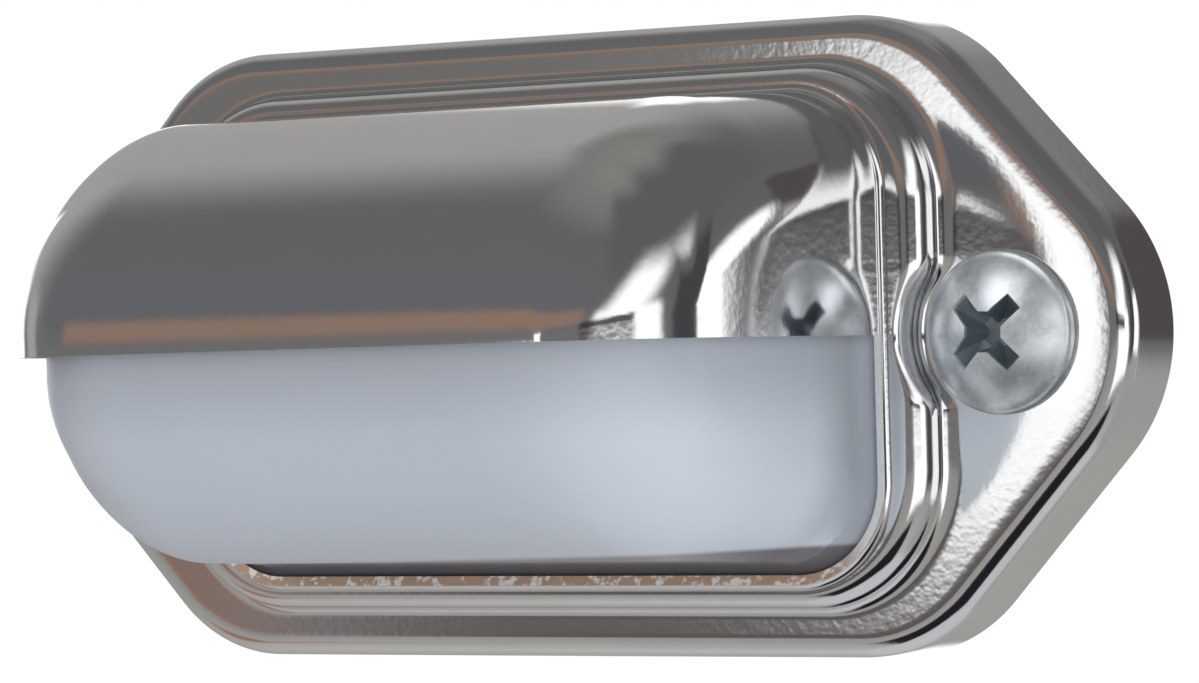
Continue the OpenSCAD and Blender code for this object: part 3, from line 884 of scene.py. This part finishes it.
@dataclass
class Cover:
    """The chromed pressing: skirt, flange, step and hood."""

    form: LampForm = field(default_factory=LampForm)
    hole_r: float = 2.65
    skirt_rows: tuple[float, ...] = (0.0, 0.25, 1.5, 3.0)
    bend_steps: int = 10
    face_rows: int = 6
    hollow_steps: int = 8
    rise_rows: int = 3
    edge_steps: int = 14
    ledge_rows: int = 2
    lip_steps: int = 5
    foot_steps: int = 3
    wall_rows: int = 12

    def rings(self) -> tuple[list[list[Vector]], int]:
        """Rings of the outer face from the panel to the nose.

        Returns:
            The rings and the number of the one where the lower half is cut.
        """
        f = self.form
        quarter = math.pi / 2
        hollow_widths = (f.step_foot_end, f.step_foot_r, f.step_foot_r)
        edge_widths = (f.step_round_end, f.step_round_w, f.step_round_seat)
        skirt = [f.ring(f.flange(0), y) for y in self.skirt_rows]
        bend = [f.ring(f.flange(f.bend_r * q), f.skirt_d - f.bend_r * p)
                for p, q in rounding(steps(0, quarter, self.bend_steps))]
        hollow = [f.ring(f.step(*(w * p for w in hollow_widths)), f.skirt_d + f.step_foot_r * q)
                  for p, q in rounding(steps(0, quarter, self.hollow_steps))]
        edge = [f.ring(f.step(*(-w * q for w in edge_widths)), f.step_y - f.step_round_h * p)
                for p, q in rounding(steps(0, quarter, self.edge_steps))]
        cut = math.asin(1 - f.opening_margin / f.hood_foot_r)
        turned = steps(0, cut, self.lip_steps) + steps(cut, quarter, self.foot_steps)[1:]
        foot = [f.ring(f.foot(f.hood_foot_r * p), f.step_y + f.hood_foot_r * q) for p, q in rounding(turned)]
        nose = [f.ring(*f.nose(t, 0.0)) for t in f.turns()]
        lower = (skirt + bend + between(bend[-1], hollow[0], self.face_rows) + hollow
                 + between(hollow[-1], edge[0], self.rise_rows) + edge
                 + between(edge[-1], foot[0], self.ledge_rows) + foot[:self.lip_steps + 1])
        wall = [f.ring(*f.wall(s, 0.0)) for s in steps(f.hood_foot_r, f.hood_roof, self.wall_rows)[1:-1]]
        upper = foot[self.lip_steps + 1:] + wall + nose
        return lower + upper, len(lower) - 1

    def build(self) -> bpy.types.Object:
        """Makes and dresses the cover.

        Returns:
            The piece.
        """
        rings, cut = self.rings()
        piece = Bench.loft("chrome_cover", rings, half_from=cut)
        Bench.outward(piece, Vector((0, -0.02, 0.05)))
        Bench.dress(piece, CHROME, CUT_EDGE)
        Bench.modify(piece, "SOLIDIFY", thickness=self.form.sheet_t * MM, offset=-1.0, use_even_offset=True,
                     use_rim=True, material_offset_rim=1)
        for side in Side:
            hole = Bench.bar(side.value * self.form.screw_x, 0, self.hole_r, 1.0, -self.form.step_y)
            Bench.cut(piece, hole)
        Bench.smooth(piece)
        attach(piece, "root")
        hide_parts("cover")
        return piece


@dataclass
class Lens:
    """The milky moulding below the hood."""

    form: LampForm = field(default_factory=LampForm)
    inset: float = 1.3
    wall: float = 1.6
    flange_t: float = 1.6
    flange_w: float = 0.75
    flare_w: float = 1.0
    flare_h: float = 2.3
    flare_steps: int = 10
    side_rows: int = 8

    def build(self) -> bpy.types.Object:
        """Makes and dresses the lens.

        Returns:
            The piece.
        """
        f = self.form
        front = f.step_y - f.sheet_t
        back = front - self.flange_t
        grow = self.flare_w - self.inset + self.flange_w
        inner = [f.ring(*f.nose(t, self.inset + self.wall)) for t in reversed(f.turns())]
        outer = [f.ring(*f.nose(t, self.inset)) for t in f.turns()]
        flare = [f.ring(f.foot(self.flare_w * p - self.inset), front + self.flare_h * q)
                 for p, q in rounding(steps(0, math.pi / 2, self.flare_steps))]
        side = [f.ring(*f.wall(s, self.inset)) for s in steps(self.flare_h, f.hood_roof, self.side_rows)[:-1]]
        rings = (inner + [f.ring(f.foot(-self.inset - self.wall), back), f.ring(f.foot(grow), back),
                          f.ring(f.foot(grow), front)] + flare + side + outer)
        piece = Bench.loft("milky_lens", rings, start=RingEnd.FLAT)
        Bench.smooth(piece)
        Bench.dress(piece, MILKY)
        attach(piece, "root")
        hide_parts("lens")
        return piece


@dataclass
class PanScrew:
    """A zinc-plated cross-recess screw.

    Each row of the recess gives its depth, the reach and half width of its wings and where their flanks meet.
    """

    side: Side
    centre_x: float = 31.5
    seat_y: float = -5.5
    head_r: float = 4.8
    head_h: float = 2.5
    head_edge: float = 0.55
    crown_inset: float = 0.12
    crown_start: float = 0.01
    crown_steps: int = 16
    rim_w: float = 0.2
    rim_y: float = 0.16
    rim_steps: int = 6
    seat_round: Point = (0.06, 0.05)
    neck_r: float = 2.088
    neck_end: float = -0.35
    thread_r: float = 2.39
    thread_start: float = -0.2
    thread_row: float = 0.1
    thread_run_in: float = 0.9
    crest_w: float = 0.26
    root_r: float = 1.8
    pitch: float = 1.6
    length: float = 16.0
    point: float = 3.0
    point_r: float = 2.4
    tip_r: float = 0.02
    tip_cut: float = 0.03
    recess_turn: float = 43.0
    recess_rows: tuple[tuple[float, float, float, float], ...] = (
        (-0.4, 3.05, 0.64, 1.15), (0.0, 2.95, 0.62, 1.08), (0.5, 2.6, 0.58, 0.96), (1.5, 1.75, 0.5, 0.78),
        (2.0, 0.9, 0.3, 0.45))

    def at(self, radius: float, turn: float, y: float) -> Vector:
        """A point round the axis, in metres."""
        x = self.side.value * self.centre_x + radius * math.cos(turn)
        return Vector((x * MM, y * MM, radius * math.sin(turn) * MM))

    def turned(self, radius: float, y: float) -> list[Vector]:
        """A round ring at a place along the axis, in metres."""
        return [self.at(radius, t, y) for t in CIRCLE]

    def head(self) -> list[list[Vector]]:
        """Rings of the head, from the crown's middle to its underside.

        Returns:
            The rings.
        """
        rise = self.head_h - self.head_edge
        flat_r = self.head_r - self.crown_inset
        crown_r = (flat_r ** 2 + rise ** 2) / (2 * rise)
        top = self.seat_y - self.head_h
        last = math.asin((flat_r - self.rim_w) / crown_r)
        crown = [self.turned(crown_r * math.sin(t), top + crown_r * (1 - math.cos(t)))
                 for t in steps(self.crown_start, last, self.crown_steps)]
        crown_end = top + crown_r * (1 - math.cos(last))
        rim_end = self.seat_y - self.rim_y
        rim = [self.turned(flat_r - self.rim_w + (self.rim_w + self.crown_inset) * math.sin(t),
                           rim_end - (rim_end - crown_end) * math.cos(t))
               for t in steps(math.pi / 10, math.pi / 2, self.rim_steps)]
        round_w, round_y = self.seat_round
        under = [self.turned(self.head_r - round_w, self.seat_y - round_y),
                 self.turned(self.head_r - self.rim_w, self.seat_y)]
        return crown + rim + under

    def shank(self) -> list[list[Vector]]:
        """Rings of the neck, the thread and the point.

        Returns:
            The rings.
        """
        tip = self.seat_y + self.length
        neck = [self.turned(self.neck_r, self.seat_y), self.turned(self.neck_r, self.neck_end)]
        rings = []
        for row in range(int((tip - self.thread_start) / self.thread_row)):
            y = self.thread_start + row * self.thread_row
            grow = min(1.0, max(0.0, (y - self.thread_start) / self.thread_run_in))
            left = (tip - y) / self.point
            ring = []
            for t in CIRCLE:
                phase = (y / self.pitch - t / (2 * math.pi)) % 1.0
                crest = max(0.0, 1 - abs(phase - 0.5) / self.crest_w)
                r = self.root_r + (self.thread_r - self.root_r) * crest * grow
                r = min(r, self.point_r * left) if left < 1 else r
                ring.append(self.at(r, t, y))
            rings.append(ring)
        return neck + rings + [self.turned(self.tip_r, tip - self.tip_cut)]

    def recess(self) -> bpy.types.Object:
        """The cutter for the cross recess.

        Returns:
            The cutter.
        """
        x0 = self.side.value * self.centre_x
        top = self.seat_y - self.head_h
        turn = math.radians(self.recess_turn)
        rings = []
        for depth, reach, half, flank in self.recess_rows:
            ring = []
            for t in (turn + quarter * math.pi / 2 for quarter in range(4)):
                for u, v in ((reach, -half), (reach, half), (flank, half), (half, flank)):
                    ring.append(Vector(((x0 + u * math.cos(t) - v * math.sin(t)) * MM, (top + depth) * MM,
                                        (u * math.sin(t) + v * math.cos(t)) * MM)))
            rings.append(ring)
        return Bench.loft("recess_cutter", rings, start=RingEnd.FLAT)

    def build(self) -> bpy.types.Object:
        """Makes and dresses the screw.

        Returns:
            The piece.
        """
        name = "screw_" + self.side.name.lower()
        piece = Bench.loft("zinc_" + name, self.head() + self.shank(), start=RingEnd.FLAT)
        Bench.cut(piece, self.recess())
        Bench.smooth(piece, 30.0)
        Bench.dress(piece, ZINC)
        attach(piece, "root")
        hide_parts(name)
        return piece


# Studio


@dataclass(frozen=True)
class Panel:
    """A soft-edged panel of the studio, seen by direction from the lamp, in degrees.

    Azimuth 0 is in front of the lamp and grows to the right. The skew moves the panel sideways with height.
    """

    azimuth: float
    elevation: float
    half_w: float
    half_h: float
    colour: Colour
    soft_w: float
    soft_h: float
    skew: float = 0.0


WHITE: Colour = (1.3, 1.3, 1.3)
PANELS = (
    # above and behind, for the hood's upper half
    Panel(-132, 37, 42, 30, linear(168, 167, 164), 26, 8),
    Panel(90, 52, 62, 24, linear(100, 98, 97), 12, 8),
    Panel(125, 12, 45, 20, linear(104, 104, 106), 10, 6),
    # in front and left, for the bands above the hood's edge
    Panel(-28, 22, 40, 8, linear(106, 108, 112), 8, 5),
    Panel(-17, 9.3, 29, 3.8, linear(148, 124, 109), 5, 2.2),
    Panel(-92, 6, 8, 9, linear(166, 168, 168), 4, 4),
    # low, for the lower bend
    Panel(8, -45, 40, 15.5, linear(34, 33, 37), 5, 3),
    Panel(-60, -32, 14, 6, linear(160, 118, 98), 4, 4),
    Panel(-38.6, -2.8, 1.6, 1.6, linear(150, 112, 92), 0.8, 0.8),
    Panel(125, -34, 38, 22, linear(164, 164, 165), 8, 6),
    # in front, for the flat flange
    Panel(-27, -6, 9, 4.4, linear(96, 91, 89), 2, 0.8),
    Panel(-27, 0.9, 3.3, 3.0, WHITE, 0.6, 0.6),
    # right, for the windows and dark bars in the hood's rounded end
    Panel(47, -6, 26, 15, WHITE, 4, 4),
    Panel(54, 18, 17, 16, WHITE, 10, 11, 1.1),
    Panel(97, 8, 11, 22, linear(72, 70, 72), 3, 6, 0.4),
    Panel(122, 2, 15, 12, WHITE, 1.5, 3, 0.4),
    Panel(163, 12, 24, 15, linear(84, 78, 78), 1.5, 1.5),
    Panel(142.4, -4, 0.9, 14, (0.8, 0.8, 0.8), 0.8, 4),
    # a dark bar across the windows
    Panel(31, 2.5, 21, 2.3, linear(60, 54, 56), 2.5, 1),
    # left and behind, for the lines along the skirt
    Panel(-128, 3, 20, 9, WHITE, 4, 3),
    Panel(-150, 0, 5, 40, WHITE, 3, 3),
)


@dataclass(frozen=True)
class SoftLamp:
    """A square lamp seen from the piece at an azimuth and an elevation, in degrees."""

    name: str
    azimuth: float
    elevation: float
    watts: float
    screws_only: bool = False


@dataclass
class Studio:
    """Camera, floor and the light round the lamp."""

    distance: float = 330.0
    yaw: float = 0.5752
    pitch: float = -0.0075
    roll: float = -0.0258
    focal_px: float = 5339.005
    shift_px: Point = (-3.061, 3.434)
    sensor_w: float = 36.0
    floor_z: float = -19.02
    floor_size: float = 4.0
    floor_glow: float = 1.13
    floor_glow_share: float = 0.88
    lamp_size: float = 0.4
    lamp_distance: float = 0.6
    soft_lamps: tuple[SoftLamp, ...] = (
        SoftLamp("key", 28, -14, 1.1), SoftLamp("fill", -32, 22, 0.6), SoftLamp("top", -8, 38, 0.9, True))

    def camera(self) -> None:
        """Sets the camera at the photograph's place."""
        back = toward(self.yaw, self.pitch)
        right = Vector((math.cos(self.yaw), math.sin(self.yaw), 0.0))
        up = back.cross(right)
        right_r = right * math.cos(self.roll) + up * math.sin(self.roll)
        up_r = up * math.cos(self.roll) - right * math.sin(self.roll)
        data = bpy.data.cameras.new("photo_camera")
        data.sensor_width = self.sensor_w
        data.lens = self.sensor_w * self.focal_px / IMAGE_W
        data.shift_x = -self.shift_px[0] / IMAGE_W
        data.shift_y = self.shift_px[1] / IMAGE_W
        data.clip_start = 0.01
        camera = bpy.data.objects.new("photo_camera", data)
        turn = Matrix((right_r, up_r, back)).transposed()
        camera.matrix_world = Matrix.Translation(back * self.distance * MM) @ turn.to_4x4()
        bpy.context.scene.collection.objects.link(camera)
        bpy.context.scene.camera = camera

    def world(self) -> None:
        """Paints the light round the lamp."""
        world = bpy.data.worlds.new("studio")
        bpy.context.scene.world = world
        world.use_nodes = True
        graph = Graph(world.node_tree)
        x, y, z = graph.split(graph.node("ShaderNodeTexCoord", out="Generated"))
        degrees = 180 / math.pi
        azimuth = degrees * x.join("ARCTAN2", x, -y)
        elevation = degrees * z.join("ARCSINE", z, 0.0)
        stops = [(0.0, linear(202, 204, 206)), (0.16, linear(198, 200, 202)),
                 (0.21, linear(182, 181, 178)), (0.44, linear(158, 155, 150)),
                 (0.483, linear(150, 150, 150)), (0.495, linear(118, 117, 116)),
                 (0.56, linear(108, 108, 108)), (0.78, linear(106, 106, 105)),
                 (0.86, linear(126, 125, 122)), (1.0, linear(140, 139, 135))]
        colour = graph.node("ShaderNodeValToRGB", {"stops": stops}, {"Fac": (elevation + 90.0) / 180.0})
        for panel in PANELS:
            turn = graph.node("ShaderNodeMath", {"operation": "WRAP"},
                              {0: azimuth - panel.azimuth, 1: 180.0, 2: -180.0})
            rise = elevation - panel.elevation
            aside = abs(turn - panel.skew * rise)
            across = aside.above(panel.half_w + panel.soft_w, panel.half_w - panel.soft_w)
            up = abs(rise).above(panel.half_h + panel.soft_h, panel.half_h - panel.soft_h)
            colour = graph.blend(across * up, colour, panel.colour)
        seen = graph.node("ShaderNodeLightPath", out="Is Camera Ray")
        colour = graph.blend(seen, colour, (1.0, 1.0, 1.0))
        shade = graph.node("ShaderNodeBackground", {}, {"Color": colour, "Strength": 1.0})
        graph.node("ShaderNodeOutputWorld", {}, {"Surface": shade})

    def floor(self) -> None:
        """Lays a plain pale floor that keeps the lamp's shadow."""
        Bench.clear()
        bpy.ops.mesh.primitive_plane_add(size=self.floor_size, location=(0, 0, self.floor_z * MM))
        floor = bpy.context.object
        floor.name = "floor"
        made = bpy.data.materials.new("pale_floor")
        made.use_nodes = True
        graph = Graph(made.node_tree)
        seen = graph.node("ShaderNodeLightPath", out="Is Camera Ray")
        card = graph.node("ShaderNodeBsdfDiffuse", {}, {"Color": (0.9, 0.9, 0.9)})
        glow = graph.node("ShaderNodeEmission", {}, {"Color": (1.0, 1.0, 1.0), "Strength": self.floor_glow})
        lit = graph.node("ShaderNodeMixShader", {}, {0: self.floor_glow_share, 1: card, 2: glow})
        clear = graph.node("ShaderNodeBsdfTransparent")
        shade = graph.node("ShaderNodeMixShader", {}, {0: seen, 1: clear, 2: lit})
        graph.node("ShaderNodeOutputMaterial", {}, {"Surface": shade})
        floor.data.materials.append(made)

    def lamps(self) -> None:
        """Hangs large soft lamps for the matt pieces; only the one for the screws shows as a mirror image."""
        screws = bpy.data.collections.new("screws_lit")
        for side in Side:
            screws.objects.link(bpy.data.objects["zinc_screw_" + side.name.lower()])
        for kind in self.soft_lamps:
            way = toward(math.radians(kind.azimuth), math.radians(kind.elevation))
            data = bpy.data.lights.new(kind.name, "AREA")
            data.shape = "SQUARE"
            data.size = self.lamp_size
            data.energy = kind.watts
            lamp = bpy.data.objects.new(kind.name, data)
            lamp.location = way * self.lamp_distance
            lamp.rotation_euler = way.to_track_quat("Z", "Y").to_euler()
            if kind.screws_only:
                lamp.light_linking.receiver_collection = screws
            else:
                lamp.visible_glossy = False
            bpy.context.scene.collection.objects.link(lamp)

    def build(self) -> None:
        """Sets up the whole studio."""
        self.camera()
        self.world()
        self.lamps()
        self.floor()
        bpy.context.scene.view_settings.view_transform = "Standard"


def dress_carried() -> None:
    """Gives each CAD node that stays its finish."""
    for finish, nodes in CARRIED.items():
        for node in nodes:
            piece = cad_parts[node]
            Bench.dress(piece, *[finish] * max(1, len(piece.data.materials)))
            LOG.info("dressed %s with %s", node, finish.name)


def main() -> None:
    """Builds the lamp and its studio."""
    logging.basicConfig(level=logging.INFO, format="%(name)s: %(message)s")
    for kind in (Cover(), Lens(), PanScrew(Side.LEFT), PanScrew(Side.RIGHT)):
        piece = kind.build()
        LOG.info("built %s, %d faces", piece.name, len(piece.data.polygons))
    dress_carried()
    Studio().build()


if __name__ == "__main__":
    main()
